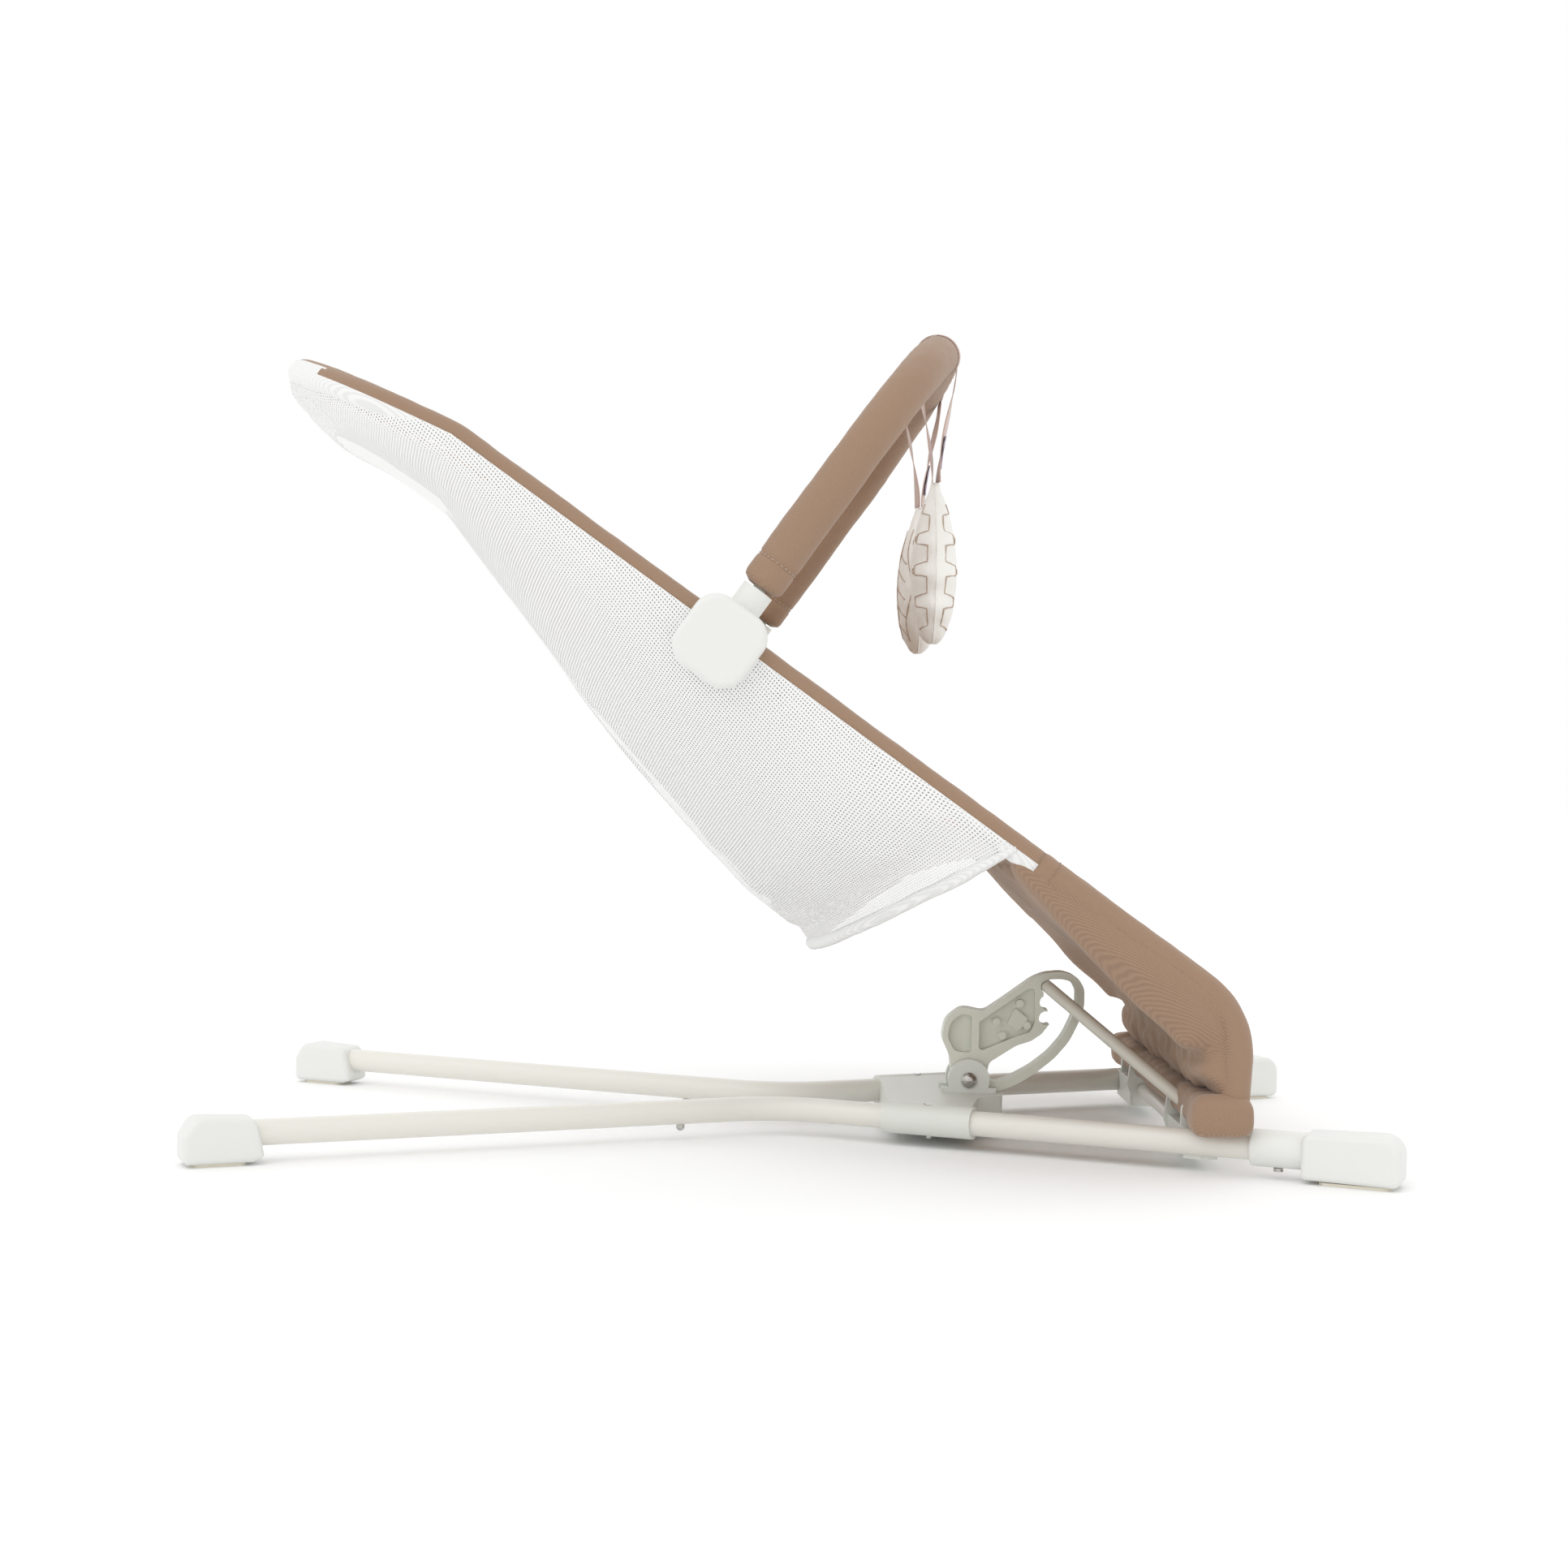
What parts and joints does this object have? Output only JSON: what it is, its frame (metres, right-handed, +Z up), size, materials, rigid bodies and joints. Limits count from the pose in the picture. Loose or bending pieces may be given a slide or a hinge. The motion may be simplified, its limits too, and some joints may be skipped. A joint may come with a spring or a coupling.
{
  "type": "baby bouncer seat",
  "caption": "Low tubular baby bouncer with a mesh hammock seat, notched recline arm, harness and a padded toy bar with hanging leaf toys.",
  "frame": {"origin": "on the floor, under the middle of the object's box", "axes": "+X to the foot end, +Y to the sitter's left, +Z up"},
  "size_m": [0.8793, 0.4812, 0.6291],
  "materials": {
    "painted_tube": "satin powder coat",
    "painted_rod": "satin powder coat",
    "hub_plastic": "fine texture",
    "arm_plastic": "fine texture",
    "white_plastic": "fine texture",
    "foot_rubber": "matt",
    "steel": "brushed",
    "white_mesh": "open net",
    "pad_twill": "twill",
    "brown_twill": "twill",
    "webbing": "woven tape",
    "buckle_plastic": "fine texture",
    "button_plastic": "semi gloss",
    "ribbon": "satin ribbon",
    "toy_fabric": "cotton"
  },
  "bodies": {
    "base": {"front_base_tube_left": "painted_tube", "front_base_tube_right": "painted_tube", "rear_leg_left": "painted_tube", "rear_leg_right": "painted_tube", "rear_foot_left": "white_plastic", "rear_foot_right": "white_plastic", "front_foot_left": "white_plastic", "front_foot_right": "white_plastic", "rear_foot_pads": "foot_rubber", "front_foot_pads": "foot_rubber", "front_foot_screws": "steel", "base_hub": "hub_plastic", "hub_screws": "steel", "pivot_bolt": "steel", "pivot_nut": "steel", "pivot_washers": "steel", "cross_tube": "painted_tube", "hinge_bracket_left": "hub_plastic", "hinge_bracket_right": "hub_plastic"},
    "arm": {"recline_arm": "arm_plastic"},
    "seat": {"bottom_bar": "painted_tube", "recline_strut": "painted_rod", "upper_hoop": "painted_tube", "mesh_sling": "white_mesh", "seat_pad": "pad_twill", "front_panel": "brown_twill", "crotch_strap": "webbing", "buckle_body": "buckle_plastic", "clip_hub_screws": "steel", "tube_casing_upper": "brown_twill", "side_tube_left": "painted_tube", "tube_casing_left": "brown_twill", "corner_clip_left": "white_plastic", "waist_strap_left": "webbing", "buckle_tongue_left": "buckle_plastic", "clip_hub_outer_left": "white_plastic", "clip_hub_inner_left": "white_plastic", "side_tube_right": "painted_tube", "tube_casing_right": "brown_twill", "corner_clip_right": "white_plastic", "waist_strap_right": "webbing", "buckle_tongue_right": "buckle_plastic", "clip_hub_outer_right": "white_plastic", "clip_hub_inner_right": "white_plastic"},
    "toy_bar": {"toy_bar_rod": "painted_rod", "toy_bar_cover": "brown_twill"},
    "toy_left": {"toy_ribbon_left": "ribbon", "leaf_toy_left": "toy_fabric"},
    "toy_right": {"toy_ribbon_right": "ribbon", "leaf_toy_right": "toy_fabric"},
    "release_button": {"buckle_button": "button_plastic"},
    "snap_left": {"snap_button_left": "steel"},
    "snap_right": {"snap_button_right": "steel"}
  },
  "joints": [
    {"name": "seat_recline", "type": "hinge", "parent": "base", "child": "seat", "pos_m": [0.3, 0, 0.04], "axis": [0, 1, 0], "range_deg": [-8.2, 0]},
    {"name": "arm_pivot", "type": "hinge", "parent": "base", "child": "arm", "pos_m": [0.142, 0, 0.043], "axis": [0, 1, 0], "range_deg": [-20.5, 0]},
    {"name": "toy_bar_pull", "type": "slide", "parent": "seat", "child": "toy_bar", "axis": [0.5764, 0, 0.8171], "range_m": [0, 0.02]},
    {"name": "toy_left_swing", "type": "hinge", "parent": "toy_bar", "child": "toy_left", "pos_m": [0.10063, 0.09, 0.6062], "axis": [0, 1, 0], "range_deg": [-35, 35]},
    {"name": "toy_right_swing", "type": "hinge", "parent": "toy_bar", "child": "toy_right", "pos_m": [0.10063, -0.09, 0.6062], "axis": [0, 1, 0], "range_deg": [-35, 35]},
    {"name": "buckle_release", "type": "slide", "parent": "seat", "child": "release_button", "axis": [0.0037, 0, -1], "range_m": [0, 0.003], "stiffness_N_per_m": 400, "springref_m": -0.002},
    {"name": "snap_left_press", "type": "slide", "parent": "base", "child": "snap_left", "axis": [0, 0, 1], "range_m": [0, 0.003], "stiffness_N_per_m": 400, "springref_m": -0.002},
    {"name": "snap_right_press", "type": "slide", "parent": "base", "child": "snap_right", "axis": [0, 0, 1], "range_m": [0, 0.003], "stiffness_N_per_m": 400, "springref_m": -0.002}
  ],
  "couplings": [
    {"joint": "arm_pivot", "follows": "seat_recline", "ratio": 2.5}
  ]
}
